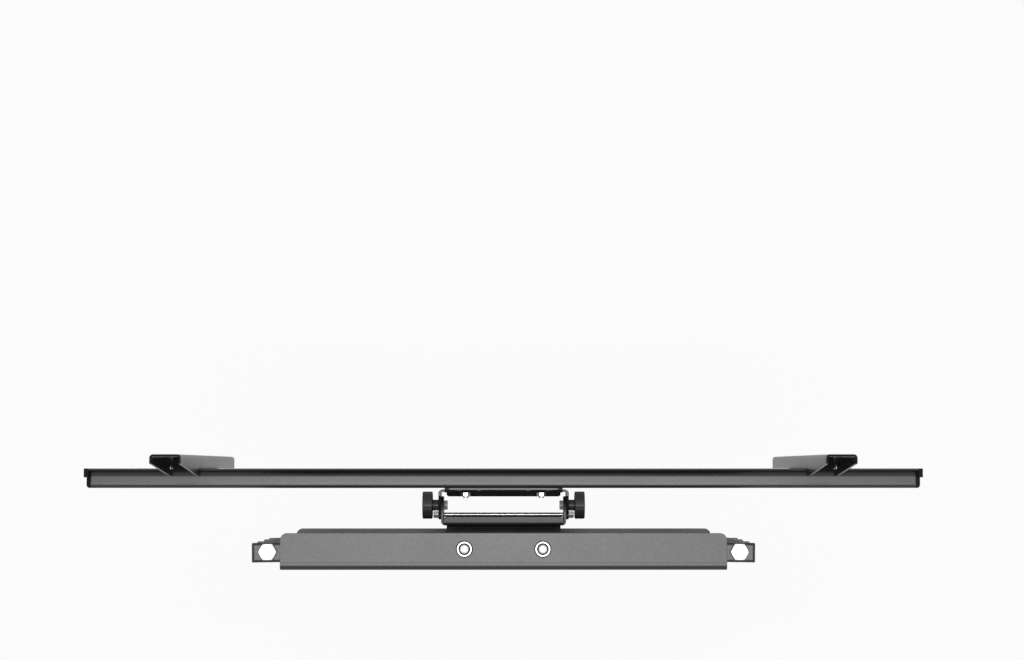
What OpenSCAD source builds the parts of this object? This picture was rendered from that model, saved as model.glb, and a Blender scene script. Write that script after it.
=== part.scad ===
// Full-motion wall mount for a flat screen, folded flat against the wall.
// The origin is the centre of the wall plate's back face. The screen faces -Y and +Z is up.

/* [Wall plate] */
// Width of the wall plate
plate_w = 450; // [430:5:520]
// Height of the wall plate
plate_h = 180; // [176:2:200]
// Depth of the wall plate's top and bottom flanges
plate_d = 37; // [34:0.5:42]
// Sheet thickness of the wall plate
plate_t = 2.5; // [2:0.1:3]
// Outer bend radius of the wall plate
plate_bend_r = 5; // [4:0.5:7]
// Corner radius at the front of the flanges
plate_corner_r = 7; // [3:0.5:12]
// Distance between the outer pair of stud slots
stud_pitch = 406.4; // [380:0.1:406.4]
// Distance between the inner pair of stud slots
stud_pitch_inner = 304.8; // [280:0.1:320]
// Distance between the upper and the lower row of stud slots
stud_rows = 120; // [110:2:130]
// Width of a stud slot
stud_slot_w = 8.5; // [7:0.5:10]
// Length of a stud slot
stud_slot_l = 30; // [20:1:30]
// Width of the centre window in the wall plate
window_w = 134; // [130:1:150]
// Height of the centre window in the wall plate
window_h = 78; // [74:1:84]
// Corner radius of the centre window
window_r = 8; // [4:1:14]

/* [Folding arms] */
// Distance from pivot to pivot on every arm
arm_l = 198; // [190:1:215]
// Distance from the centre line to a wall pivot
pivot_x = 39.5; // [38:0.5:43]
// Distance from the wall to the wall pivots
wall_pivot_d = 21; // [20:0.1:22]
// Distance from the wall to the head pivots when folded
head_pivot_d = 15.4; // [15:0.1:16.4]
// Diameter of the wall and head pivot pins
pin_dia = 8; // [6:0.5:9]
// Diameter of the elbow bolts
elbow_dia = 10; // [8:0.5:10.5]
// Running clearance on the radius between a pin and its bush
run_clear = 0.05; // [0.03:0.01:0.08]
// Gap between faces that slide past each other
face_gap = 0.1; // [0.05:0.05:0.2]
// Thickness of the flange on a bush
bush_flange_t = 0.5; // [0.4:0.1:0.8]
// Depth of a rear arm behind its pivot line
rear_back = 10.7; // [10.5:0.1:11.2]
// Depth of a rear arm in front of its pivot line
rear_front = 9; // [8.5:0.1:10]
// Sheet thickness of a rear arm
rear_t = 2; // [1.6:0.1:2]
// Height of the turned-in lips along a rear arm's front edge
rear_lip = 5; // [3:0.5:8]
// Length of a rear arm past its elbow bolt
rear_tail = 16.5; // [13:0.5:20]
// Length of the full-height web at the elbow
rear_web_l = 50; // [30:1:55]
// Half height of the long window in a rear arm's web
rear_window_z = 38; // [37.5:0.5:40]
// Thickness of the elbow lugs
lug_t = 3; // [2:0.5:4]
// Width of a forearm
fore_w = 14; // [13.6:0.1:14.2]
// Height of a forearm
fore_h = 60; // [54:1:62]
// Sheet thickness of a forearm
fore_t = 2.5; // [2:0.1:3]
// Wall thickness of the tubes round the forearm pivots
barrel_wall = 0.9; // [0.7:0.1:1]

/* [Head and tilt] */
// Width of the head bracket
head_w = 118; // [112:1:122]
// Sheet thickness of the head bracket
head_t = 2.5; // [2:0.1:3]
// Outer bend radius of the head bracket
head_bend_r = 12; // [4:0.5:13]
// Radius of the lobes round the head pivots
lobe_r = 14.2; // [12:0.1:14.6]
// Half width of the curved notch between the lobes
notch_half_w = 34; // [28:1:35]
// Distance from the head pivots to the front of the head bracket
head_reach = 27.6; // [26:0.1:29]
// Distance from the head bracket's front to the tilt axle
axle_reach = 10.8; // [10:0.1:12]
// Diameter of the tilt axle
axle_dia = 4.4; // [4:0.1:5]
// Distance from the centre line to the outside of the tilt base's ears
base_half_w = 65; // [64:0.5:68]
// Sheet thickness of the tilt base
base_t = 2.5; // [2:0.1:3]
// Height of the tilt base
base_h = 54; // [48:1:58]
// Depth of the tilt base's top and bottom flanges
base_flange_d = 9; // [6:0.1:9.2]
// Radius of the ears round the tilt axle
base_ear_r = 19.2; // [18:0.1:19.6]
// Distance from the tilt axle to the clamp bolts
clamp_reach = 9.9; // [9.6:0.1:10.4]
// Diameter of the clamp bolts
clamp_dia = 6; // [5:0.5:6]
// Largest tilt with the top of the screen forward
tilt_forward = 15; // [10:1:15]
// Largest tilt with the top of the screen backward
tilt_back = 5; // [0:1:5]
// Distance from the tilt axle to the front face of the yoke
yoke_reach = 26.3; // [26:0.1:28]
// Sheet thickness of the yoke
yoke_t = 2.5; // [2:0.1:2.5]
// Height of the yoke's web
yoke_h = 48; // [44:1:52]
// Length of the yoke's sloping lower flange
yoke_flange_d = 4.5; // [4:0.5:8]
// Diameter of a knob
knob_dia = 28.5; // [24:0.5:28.5]
// Thickness of a knob's grip
knob_t = 10.5; // [8:0.5:14]
// Diameter of a knob's hub
knob_hub_dia = 11.4; // [10:0.1:11.6]
// Length of a knob's hub
knob_hub_l = 6.2; // [5.8:0.1:8]
// Number of finger flutes round a knob
knob_flutes = 14; // [8:1:18]

/* [Screen frame] */
// Length of a rail with its end caps
rail_l = 850; // [800:5:900]
// Sheet thickness of a rail
rail_t = 2; // [1.6:0.1:2]
// Depth of a rail
rail_d = 19.9; // [18.5:0.1:21]
// Height of the rails' lips above the centre line
lip_z = 80; // [78:0.5:84]
// Height of a rail's lip above its rounded back
lip_h = 16; // [15:0.5:18]
// Height of a rail's rear wall
rail_wall_h = 22; // [18:1:24]
// Fall of a rail's top towards the lip
rail_fall = 0.5; // [0:0.1:3]
// Outer radius of the cove below a rail's lip
rail_cove_r = 8; // [6:0.5:9]
// Thickness of an end cap
cap_t = 4; // [3:0.1:5]
// Half width of the centre plate
centre_half_w = 60.5; // [56:0.5:64]
// Sheet thickness of the centre plate
centre_t = 2; // [1.8:0.1:3]

/* [Screen brackets] */
// Distance from the centre line to the middle of a bracket
bracket_x = 323; // [150:1:400]
// Width of a bracket
bracket_w = 30; // [28:0.5:34]
// Length of a bracket
bracket_l = 420; // [410:5:460]
// Sheet thickness of a bracket
bracket_t = 2; // [1.6:0.1:2.5]
// Distance from the rails' lips to the front face of a bracket
bracket_reach = 13.5; // [13:0.5:16]
// Depth of a bracket at its upper end
bracket_end_d = 9; // [6:0.5:11]
// Depth of a bracket's hook behind the rail's lip
hook_d = 7.5; // [6:0.1:8]
// Distance between neighbouring screw holes
hole_pitch = 50; // [45:1:50]
// Diameter of the screw holes
hole_dia = 8.4; // [6:0.1:9]

/* [Hidden] */

$fn = 64;

// Finishes
coat = [0.20, 0.20, 0.21];
coat_dark = [0.13, 0.13, 0.14];
zinc = [0.82, 0.83, 0.85];
plastic = [0.08, 0.08, 0.09];
bronze = [0.55, 0.45, 0.30];

// Small gaps between pieces, and how far a cutter passes its wall
seat_gap = 0.3;
fit_gap = 0.02;
elbow_clear = 1;
through = 1;
sharp = 0.01;

// Pivot hardware
washer_w = 3.4;
washer_r = pin_dia / 2 + washer_w;
washer_t = 1.5;
rivet_rim = 0.6;
rivet_head_r = pin_dia / 2 + rivet_rim;
rivet_head_h = 2.2;
rivet_tail_rim = 1;
rivet_tail_h = 2;
bush_wall = 1;

// Heights of the arm stack, measured from the centre line
plate_inner_z = plate_h / 2 - plate_t;
wall_bush_t = 1.4;
rear_z = plate_inner_z - face_gap - wall_bush_t;
rear_inner_z = rear_z - rear_t;
fore_z = fore_h / 2;
lug_z = fore_z + bush_flange_t + face_gap;

// Folded angle of the arms, from the wall pivots and the head pivots
fold_a = asin((head_pivot_d - wall_pivot_d) / (2 * arm_l));
elbow_x = pivot_x + arm_l * cos(fold_a);
elbow_d = wall_pivot_d + arm_l * sin(fold_a);

// Elbow hardware
elbow_af = 16;
elbow_head_h = 6.4;
elbow_nut_h = 8;
elbow_collar_h = 1.5;
elbow_collar_inset = 1;
elbow_tail = 2;
elbow_washer_inset = 0.1;
elbow_washer_r = elbow_af / 2 - elbow_washer_inset;
elbow_sweep_r = elbow_af / 2 / cos(30) + elbow_clear;
spacer_inset = 0.2;
spacer_r = rear_front - rear_t - spacer_inset;
rear_corner_r = 3;
rear_end_r = 1.5;
fore_bend_r = 1;

// Bushes in the forearm
barrel_inset = 0.1;
barrel_r = fore_w / 2 - barrel_inset;
bush_r = barrel_r - barrel_wall;

// Depths of the head, measured from the wall
head_front_d = head_pivot_d + head_reach;
axle_d = head_front_d + axle_reach;
clamp_d = axle_d + clamp_reach;
yoke_front_d = axle_d + yoke_reach;
yoke_rear_d = yoke_front_d - yoke_t;
ear_gap = 0.3;
yoke_half_w = base_half_w + ear_gap + yoke_t;

// Head bracket and the rivets that carry the tilt base
head_plate_z = lug_z + head_t;
lobe_x = head_w / 2 - lobe_r;
base_rivet_x = 30;
base_rivet_z = 16;
base_rivet_r = 3;
base_rivet_rim = 2;
base_rivet_h = 2;
base_rivet_tail_rim = 1.5;
base_rivet_tail_h = 1.5;

// Tilt base and yoke
base_step = 0.8;
base_corner_r = 2;
ear_bend_r = 1.5;
yoke_tip_r = 5;
yoke_step = 4;
yoke_flange_inset = 5;
yoke_flange_corner_r = 3;
yoke_flange_a = 30;
slot_gap = 0.25;
slot_spare = 1;

// Axle, clamp and knobs
axle_nut_x = yoke_half_w + ear_gap;
axle_nut_af = 7;
axle_nut_h = 5;
axle_end = 0.5;
clamp_head_af = clamp_dia * 1.6;
clamp_head_h = 4;
clamp_short = 4;
knob_hub_x = yoke_half_w + ear_gap;
knob_grip_x = knob_hub_x + knob_hub_l;
knob_end_x = knob_grip_x + knob_t;
clamp_end_x = knob_end_x - clamp_short;
knob_rim_r = 1.2;
knob_dish = 1;
flute_r = 1.6;
flute_depth = 0.3;

// Bolts between the yoke and the centre plate
yoke_bolt_x = pivot_x;
yoke_bolt_z = 14;
yoke_bolt_r = 2.45;
yoke_bolt_rim = 2.5;
yoke_bolt_head_h = 2.4;
yoke_bolt_end = 1.8;
nut_af = 8;
nut_h = 4.5;

// Depths and heights of the screen frame
rail_rear_d = yoke_front_d + centre_t;
lip_d = rail_rear_d + rail_d;
rail_top_z = lip_z - lip_h;
rail_bend_r = 4;
rail_low_z = rail_top_z - rail_wall_h;
cove_d = lip_d - rail_cove_r;
cove_z = rail_top_z - rail_fall - rail_t + rail_cove_r;
rail_rivet_rise = 9;
rail_rivet_z = rail_low_z + rail_rivet_rise;
rail_rivet_inset = 15;
rail_rivet_inner = 25;
rail_rivet_xs = [rail_rivet_inset - centre_half_w, -rail_rivet_inner,
    rail_rivet_inner, centre_half_w - rail_rivet_inset];
rail_rivet_r = 2.5;
rail_rivet_rim = 2;
rail_rivet_h = 1.6;
rail_rivet_tail_rim = 1.5;
rail_rivet_tail_h = 1;
centre_corner_r = 6;
cap_foot_d = 7;
cap_step_d = 9;
cap_corner_r = 3;

// Depths and heights of the brackets
bracket_front_d = lip_d + bracket_reach;
hook_rear_d = lip_d - hook_d;
hook_tip_rise = 6.5;
hook_shoulder = 8;
hook_tip_z = rail_top_z + hook_tip_rise;
hook_seat_z = lip_z + seat_gap;
hole_rows = [1, 2, 3, 4];
hook_rivet_rise = 8;
hook_rivet_z = lip_z + hook_rivet_rise;
hook_rivet_reach = 1.5;
hook_rivet_d = lip_d + hook_rivet_reach;
hook_rivet_r = 1.6;
hook_rivet_rim = 1;
hook_rivet_h = 1.2;
hook_rivet_tail_rim = 0.8;
hook_rivet_tail_h = 0.8;
latch_drop = 7;
latch_screw_z = -lip_z - latch_drop;
latch_reach = 3.5;
latch_screw_d = lip_d + latch_reach;
latch_screw_r = 2.5;
latch_screw_rim = 2;
latch_screw_h = 2.2;
latch_screw_tail_rim = 1.2;
latch_screw_tail_h = 2;
latch_t = 3;
latch_half_h = 5;
latch_tongue = 9;

// Shapes drawn with y as the distance from the wall are turned to face -Y
module from_wall() {
    mirror([0, 1, 0]) children();
}

module both_x() {
    children();
    mirror([1, 0, 0]) children();
}

module both_z() {
    children();
    mirror([0, 0, 1]) children();
}

// Extrudes a profile of distance and height along X, from x = 0
module along_x(length) {
    rotate([90, 0, 90]) linear_extrude(height = length) children();
}

module rod_x(r, x0, x1) {
    translate([x0, 0, 0]) rotate([0, 90, 0]) cylinder(r = r, h = x1 - x0);
}

module rod_y(r, y0, y1) {
    translate([0, y1, 0]) rotate([90, 0, 0]) cylinder(r = r, h = y1 - y0);
}

module hex(af, h) {
    cylinder(r = af / 2 / cos(30), h = h, $fn = 6);
}

module ring(r_out, r_in, h) {
    difference() {
        cylinder(r = r_out, h = h);
        translate([0, 0, -through]) cylinder(r = r_in, h = h + 2 * through);
    }
}

function arc_points(x, y, r, a0, a1) =
    [for (i = [0 : 8]) let (a = a0 + (a1 - a0) * i / 8) [x + r * cos(a), y + r * sin(a)]];

// Rectangle with one radius on its left corners and another on its right ones
module round_rect(x0, x1, y0, y1, r_left, r_right) {
    translate([x0 + r_left, y0]) square([x1 - x0 - r_left - r_right, y1 - y0]);
    translate([x0, y0 + r_left]) square([r_left, y1 - y0 - 2 * r_left]);
    translate([x1 - r_right, y0 + r_right]) square([r_right, y1 - y0 - 2 * r_right]);
    for (y = [y0 + r_left, y1 - r_left]) translate([x0 + r_left, y]) circle(r = r_left);
    for (y = [y0 + r_right, y1 - r_right]) translate([x1 - r_right, y]) circle(r = r_right);
}

// Folded channel with its web at x = 0 and its flanges towards +x
module channel_profile(depth, height, t, bend_r) {
    difference() {
        round_rect(0, depth, -height / 2, height / 2, bend_r, sharp);
        round_rect(t, depth + through, t - height / 2, height / 2 - t, bend_r - t, sharp);
    }
}

// Channel with its web at x = 0 and turned-in lips at the edges of its flanges
module lipped_profile(depth, height, t, bend_r, lip) {
    difference() {
        round_rect(0, depth, -height / 2, height / 2, bend_r, bend_r);
        round_rect(t, depth - t, t - height / 2, height / 2 - t, bend_r - t, bend_r - t);
        translate([depth / 2, lip - height / 2]) square([depth, height - 2 * lip]);
    }
}

// Dome-headed rivet along +z, with its head seated at z = 0 and its tail below
module rivet(shank_r, head_r, head_h, grip, tail_r, tail_h) {
    rotate_extrude() polygon(concat(
        [[0, -grip - tail_h], [tail_r, -grip - tail_h], [tail_r, -grip], [shank_r, -grip], [shank_r, 0]],
        [for (a = [0 : 15 : 75]) [head_r * cos(a), head_h * sin(a)]],
        [[0, head_h]]
    ));
}

// Bolt head with the round chamfer of a forged hexagon
module hex_head(af, h) {
    corner_r = af / 2 / cos(30);
    intersection() {
        hex(af, h);
        rotate_extrude() polygon([
            [0, 0], [corner_r + 1, 0], [corner_r + 1, h - (corner_r + 1 - af / 2 * 0.95) * 0.45],
            [af / 2 * 0.95, h], [0, h]
        ]);
    }
}

// Wall plate

module plate_outline() {
    translate([-plate_w / 2, 0]) square([plate_w, plate_d - plate_corner_r]);
    translate([plate_corner_r - plate_w / 2, 0]) square([plate_w - 2 * plate_corner_r, plate_d]);
    for (x = [plate_corner_r - plate_w / 2, plate_w / 2 - plate_corner_r])
        translate([x, plate_d - plate_corner_r]) circle(r = plate_corner_r);
}

module stud_slot() {
    half = (stud_slot_l - stud_slot_w) / 2;
    rotate([90, 0, 0]) translate([0, 0, -plate_t - through]) {
        translate([-half, -stud_slot_w / 2, 0]) cube([2 * half, stud_slot_w, plate_t + 2 * through]);
        for (x = [-half, half]) translate([x, 0, 0])
            cylinder(r = stud_slot_w / 2, h = plate_t + 2 * through);
    }
}

// Room for the heads and nuts of the elbow bolts, all along their swing
module elbow_sweep() {
    translate([pivot_x, wall_pivot_d, 0]) rotate([0, 0, fold_a])
        linear_extrude(height = plate_h + 2, center = true) {
            translate([arm_l, 0]) circle(r = elbow_sweep_r);
            intersection() {
                difference() {
                    circle(r = arm_l + elbow_sweep_r);
                    circle(r = arm_l - elbow_sweep_r);
                }
                square(arm_l + elbow_sweep_r);
            }
        }
}

module wall_plate() {
    color(coat) from_wall() difference() {
        intersection() {
            translate([-plate_w / 2, 0, 0]) along_x(plate_w)
                channel_profile(plate_d, plate_h, plate_t, plate_bend_r);
            linear_extrude(height = plate_h + 2, center = true) plate_outline();
        }
        both_x() translate([pivot_x, wall_pivot_d, 0])
            cylinder(r = pin_dia / 2 + fit_gap, h = plate_h + 2, center = true);
        both_x() elbow_sweep();
        for (z = [-stud_rows / 2, stud_rows / 2], w = [stud_pitch, stud_pitch_inner], s = [-1, 1])
            translate([s * w / 2, 0, z]) stud_slot();
        translate([0, plate_t + through, 0]) rotate([90, 0, 0])
            linear_extrude(height = plate_t + 2 * through)
                round_rect(-window_w / 2, window_w / 2, -window_h / 2, window_h / 2, window_r, window_r);
    }
}

module at_wall_pivots() {
    from_wall() both_z() both_x() translate([pivot_x, wall_pivot_d, 0]) children();
}

module wall_pivot_rivets() {
    color(zinc) at_wall_pivots() translate([0, 0, plate_h / 2 + washer_t])
        rivet(pin_dia / 2, rivet_head_r, rivet_head_h,
            plate_h / 2 + washer_t - rear_inner_z + bush_flange_t + face_gap,
            rivet_head_r + rivet_tail_rim, rivet_tail_h);
}

module wall_pivot_washers() {
    color(zinc) at_wall_pivots() translate([0, 0, plate_h / 2])
        ring(washer_r, pin_dia / 2 + fit_gap, washer_t);
}

// Rear arms, drawn with the wall pivot at the origin and the elbow along +x

module place_rear_arm() {
    from_wall() translate([pivot_x, wall_pivot_d, 0]) rotate([0, 0, fold_a]) children();
}

module rear_outline(x0) {
    intersection() {
        round_rect(x0, arm_l + rear_tail, -rear_back, rear_front, rear_front, rear_end_r);
        translate([x0, -rear_back]) square([arm_l + rear_tail - x0, rear_back + rear_front]);
    }
}

// Side view of a rear arm, with rounded corners at the elbow end
module rear_side(x0) {
    rotate([90, 0, 0]) linear_extrude(height = 2 * (rear_back + rear_front), center = true)
        round_rect(x0, arm_l + rear_tail, -rear_z, rear_z, sharp, rear_corner_r);
}

module rear_arm() {
    wall_end = -rear_front;
    end_x = arm_l + rear_tail;
    color(coat) place_rear_arm() difference() {
        union() {
            intersection() {
                union() {
                    translate([wall_end, -rear_back, 0]) along_x(end_x - wall_end)
                        lipped_profile(rear_back + rear_front, 2 * rear_z, rear_t, rear_corner_r, rear_lip);
                    both_z() translate([end_x - rear_t, -rear_back, rear_z - rear_lip])
                        cube([rear_t, rear_back + rear_front, rear_lip]);
                }
                linear_extrude(height = 2 * rear_z, center = true) rear_outline(wall_end);
                rear_side(wall_end);
            }
            both_z() translate([0, 0, lug_z]) linear_extrude(height = lug_t)
                rear_outline(arm_l - rear_web_l / 2);
        }
        translate([wall_end - through, -rear_back - through, -rear_window_z])
            cube([arm_l - rear_web_l - wall_end + through, rear_t + 2 * through, 2 * rear_window_z]);
        both_z() translate([0, 0, rear_inner_z - through])
            cylinder(r = pin_dia / 2 + bush_wall + fit_gap, h = rear_t + 2 * through);
        translate([arm_l, 0, 0])
            cylinder(r = elbow_dia / 2 + fit_gap, h = 2 * rear_z + 2, center = true);
    }
}

module rear_arm_right() {
    rear_arm();
}

module rear_arm_left() {
    mirror([1, 0, 0]) rear_arm();
}

// Collared bushes that carry the rear arms on the wall pivots
module wall_bushes() {
    color(bronze) place_rear_arm() both_z() difference() {
        union() {
            translate([0, 0, rear_inner_z - bush_flange_t])
                cylinder(r = pin_dia / 2 + bush_wall, h = rear_z - rear_inner_z + bush_flange_t);
            translate([0, 0, rear_z]) cylinder(r = rear_front - bush_wall, h = wall_bush_t);
        }
        translate([0, 0, rear_inner_z - bush_flange_t - through])
            cylinder(r = pin_dia / 2 + run_clear, h = plate_h / 2);
    }
}

module wall_bushes_right() {
    wall_bushes();
}

module wall_bushes_left() {
    mirror([1, 0, 0]) wall_bushes();
}

module place_elbow() {
    place_rear_arm() translate([arm_l, 0, 0]) children();
}

module elbow_bolt() {
    color(zinc) place_elbow() {
        translate([0, 0, rear_z + washer_t]) hex_head(elbow_af, elbow_head_h);
        translate([0, 0, -rear_z - washer_t - elbow_nut_h - elbow_tail])
            cylinder(r = elbow_dia / 2, h = 2 * rear_z + 2 * washer_t + elbow_nut_h + elbow_tail);
    }
}

module elbow_bolt_right() {
    elbow_bolt();
}

module elbow_bolt_left() {
    mirror([1, 0, 0]) elbow_bolt();
}

module elbow_nut() {
    color(zinc) place_elbow() mirror([0, 0, 1]) translate([0, 0, rear_z + washer_t]) difference() {
        union() {
            hex_head(elbow_af, elbow_nut_h - elbow_collar_h);
            cylinder(r = elbow_af / 2 - elbow_collar_inset, h = elbow_nut_h);
        }
        translate([0, 0, -through])
            cylinder(r = elbow_dia / 2 + fit_gap, h = elbow_nut_h + 2 * through);
    }
}

module elbow_nut_right() {
    elbow_nut();
}

module elbow_nut_left() {
    mirror([1, 0, 0]) elbow_nut();
}

module elbow_washers() {
    color(zinc) place_elbow() both_z() translate([0, 0, rear_z])
        ring(elbow_washer_r, elbow_dia / 2 + fit_gap, washer_t);
}

module elbow_washers_right() {
    elbow_washers();
}

module elbow_washers_left() {
    mirror([1, 0, 0]) elbow_washers();
}

// Tubes that keep the elbow lugs and the flanges apart
module elbow_spacers() {
    color(coat_dark) place_elbow() both_z() translate([0, 0, lug_z + lug_t])
        ring(spacer_r, elbow_dia / 2 + fit_gap, rear_inner_z - lug_z - lug_t);
}

module elbow_spacers_right() {
    elbow_spacers();
}

module elbow_spacers_left() {
    mirror([1, 0, 0]) elbow_spacers();
}

// Forearms, drawn with the head pivot at the origin and the elbow along +x

module place_forearm() {
    from_wall() translate([pivot_x, head_pivot_d, 0]) rotate([0, 0, -fold_a]) children();
}

module forearm_outline() {
    translate([0, -fore_w / 2]) square([arm_l, fore_w]);
    for (x = [0, arm_l]) translate([x, 0]) circle(r = fore_w / 2);
}

module forearm() {
    color(coat) place_forearm() difference() {
        union() {
            intersection() {
                translate([-fore_w / 2, fore_w / 2, 0]) mirror([0, 1, 0]) along_x(arm_l + fore_w)
                    channel_profile(fore_w, fore_h, fore_t, fore_t + fore_bend_r);
                linear_extrude(height = fore_h, center = true) forearm_outline();
            }
            for (x = [0, arm_l]) translate([x, 0, 0])
                cylinder(r = barrel_r, h = fore_h - 2 * fore_t + 1, center = true);
        }
        for (x = [0, arm_l]) translate([x, 0, 0])
            cylinder(r = bush_r + fit_gap, h = fore_h + 2, center = true);
    }
}

module forearm_right() {
    forearm();
}

module forearm_left() {
    mirror([1, 0, 0]) forearm();
}

// Flanged sleeve through a forearm end
module forearm_bush(x, bore_r) {
    color(bronze) place_forearm() translate([x, 0, 0]) difference() {
        union() {
            cylinder(r = bush_r, h = fore_h, center = true);
            both_z() translate([0, 0, fore_z]) cylinder(r = barrel_r, h = bush_flange_t);
        }
        cylinder(r = bore_r + run_clear, h = fore_h + 4 * through, center = true);
    }
}

module elbow_bush_right() {
    forearm_bush(arm_l, elbow_dia / 2);
}

module elbow_bush_left() {
    mirror([1, 0, 0]) forearm_bush(arm_l, elbow_dia / 2);
}

module head_bush_right() {
    forearm_bush(0, pin_dia / 2);
}

module head_bush_left() {
    mirror([1, 0, 0]) forearm_bush(0, pin_dia / 2);
}

// Head bracket

// Plan of the head bracket: two lobes round the pivots and a curved notch between them
module head_outline() {
    notch_h = lobe_r;
    low_d = head_pivot_d - lobe_r;
    polygon(concat(
        [for (i = [-12 : 12]) let (x = i * notch_half_w / 12)
            [x, low_d + notch_h * (1 + cos(180 * x / notch_half_w)) / 2]],
        [for (a = [-90 : 7.5 : 0]) [lobe_x + lobe_r * cos(a), head_pivot_d + lobe_r * sin(a)]],
        [[head_w / 2, head_front_d], [-head_w / 2, head_front_d]],
        [for (a = [180 : 7.5 : 270]) [-lobe_x + lobe_r * cos(a), head_pivot_d + lobe_r * sin(a)]]
    ));
}

module head_bracket() {
    color(coat) from_wall() difference() {
        intersection() {
            translate([-head_w / 2, head_front_d, 0]) mirror([0, 1, 0]) along_x(head_w)
                channel_profile(head_front_d, 2 * head_plate_z, head_t, head_bend_r);
            linear_extrude(height = 2 * head_plate_z, center = true) head_outline();
        }
        both_x() translate([pivot_x, head_pivot_d, 0])
            cylinder(r = pin_dia / 2 + fit_gap, h = 2 * head_plate_z + 2, center = true);
        at_base_rivets() rod_y(base_rivet_r + fit_gap, -head_t - through, through);
    }
}

module head_pivot_pins() {
    color(zinc) from_wall() both_x() translate([pivot_x, head_pivot_d, head_plate_z + washer_t])
        rivet(pin_dia / 2, rivet_head_r, rivet_head_h, 2 * (head_plate_z + washer_t),
            rivet_head_r, rivet_tail_h);
}

module head_pivot_washers() {
    color(zinc) from_wall() both_z() both_x() translate([pivot_x, head_pivot_d, head_plate_z])
        ring(washer_r, pin_dia / 2 + fit_gap, washer_t);
}

// Tilt base

module at_base_rivets() {
    both_z() both_x() translate([base_rivet_x, head_front_d, base_rivet_z]) children();
}

// U-shaped strip in plan, with its web at y = 0 and ears towards +y
module ear_strip(half_w, depth, t, bend_r) {
    difference() {
        translate([0, depth / 2]) rotate(90)
            round_rect(-depth / 2, depth / 2, -half_w, half_w, bend_r, sharp);
        translate([0, depth / 2 + t]) rotate(90)
            round_rect(-depth / 2, depth / 2 + through, t - half_w, half_w - t, bend_r - t, sharp);
    }
}

// Side view of the tilt base's ears, round in front about the tilt axle
module base_ear_side() {
    translate([head_front_d, -base_ear_r]) square([axle_reach, 2 * base_ear_r]);
    translate([axle_d, 0]) circle(r = base_ear_r);
}

module tilt_base() {
    flange_half_w = base_half_w - base_t - base_step;
    ear_depth = axle_reach + base_ear_r;
    cut_x = base_half_w + through;
    color(coat) from_wall() difference() {
        union() {
            intersection() {
                translate([0, head_front_d, 0]) linear_extrude(height = base_h, center = true)
                    ear_strip(base_half_w, ear_depth, base_t, base_t + ear_bend_r);
                translate([-base_half_w, 0, 0]) along_x(2 * base_half_w) base_ear_side();
            }
            translate([-flange_half_w, head_front_d, 0]) along_x(2 * flange_half_w)
                channel_profile(base_flange_d - base_corner_r - fore_bend_r, base_h, base_t,
                    base_t + fore_bend_r);
            both_z() translate([0, head_front_d, base_h / 2 - base_t]) linear_extrude(height = base_t)
                rotate(90) round_rect(base_t + fore_bend_r, base_flange_d, -flange_half_w, flange_half_w,
                    sharp, base_corner_r);
        }
        at_base_rivets() rod_y(base_rivet_r + fit_gap, -through, base_t + through);
        translate([0, axle_d, 0]) rod_x(axle_dia / 2 + fit_gap, -cut_x, cut_x);
        translate([0, clamp_d, 0]) rod_x(clamp_dia / 2 + fit_gap, -cut_x, cut_x);
    }
}

module tilt_base_rivets() {
    color(coat) from_wall() at_base_rivets() translate([0, base_t, 0]) rotate([-90, 0, 0])
        rivet(base_rivet_r, base_rivet_r + base_rivet_rim, base_rivet_h, base_t + head_t,
            base_rivet_r + base_rivet_tail_rim, base_rivet_tail_h);
}

// Tilt axle and clamp

module tilt_axle() {
    end_x = axle_nut_x + axle_nut_h + axle_end;
    color(zinc) from_wall() translate([0, axle_d, 0]) rod_x(axle_dia / 2, -end_x, end_x);
}

module axle_nuts() {
    color(zinc) from_wall() both_x() translate([axle_nut_x, axle_d, 0]) rotate([0, 90, 0]) difference() {
        hex_head(axle_nut_af, axle_nut_h);
        translate([0, 0, -through])
            cylinder(r = axle_dia / 2 + fit_gap, h = axle_nut_h + 2 * through);
    }
}

module clamp_bolts() {
    inner_x = base_half_w - base_t;
    color(zinc) from_wall() both_x() translate([0, clamp_d, 0]) {
        rod_x(clamp_dia / 2, inner_x - clamp_head_h, clamp_end_x);
        translate([inner_x, 0, 0]) rotate([0, -90, 0]) hex_head(clamp_head_af, clamp_head_h);
    }
}

// Grip of a knob in side view: a flat dome with a soft rim
module knob_grip() {
    rim = knob_rim_r;
    rotate_extrude() polygon(concat(
        [[0, 0], [knob_dia / 2 - rim, 0]],
        [for (a = [-75 : 15 : 0]) [knob_dia / 2 - rim + rim * cos(a), rim + rim * sin(a)]],
        [for (a = [0 : 15 : 75]) [knob_dia / 2 - rim + rim * cos(a), knob_t - rim + rim * sin(a)]],
        [[knob_dia / 2 - rim - knob_dish, knob_t], [0, knob_t]]
    ));
}

module clamp_knob() {
    color(plastic) from_wall() translate([knob_hub_x, clamp_d, 0]) rotate([0, 90, 0]) difference() {
        union() {
            cylinder(r = knob_hub_dia / 2, h = knob_hub_l + through);
            translate([0, 0, knob_hub_l]) knob_grip();
        }
        for (i = [0 : knob_flutes - 1]) rotate([0, 0, (i + 0.5) * 360 / knob_flutes])
            translate([knob_dia / 2 + flute_r - flute_depth, 0, knob_hub_l - through])
                cylinder(r = flute_r, h = knob_t + 2 * through);
        translate([0, 0, -through])
            cylinder(r = clamp_dia / 2 + run_clear, h = clamp_end_x - knob_hub_x + through + seat_gap);
    }
}

module clamp_knob_right() {
    clamp_knob();
}

module clamp_knob_left() {
    mirror([1, 0, 0]) clamp_knob();
}

// Tilt yoke

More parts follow.
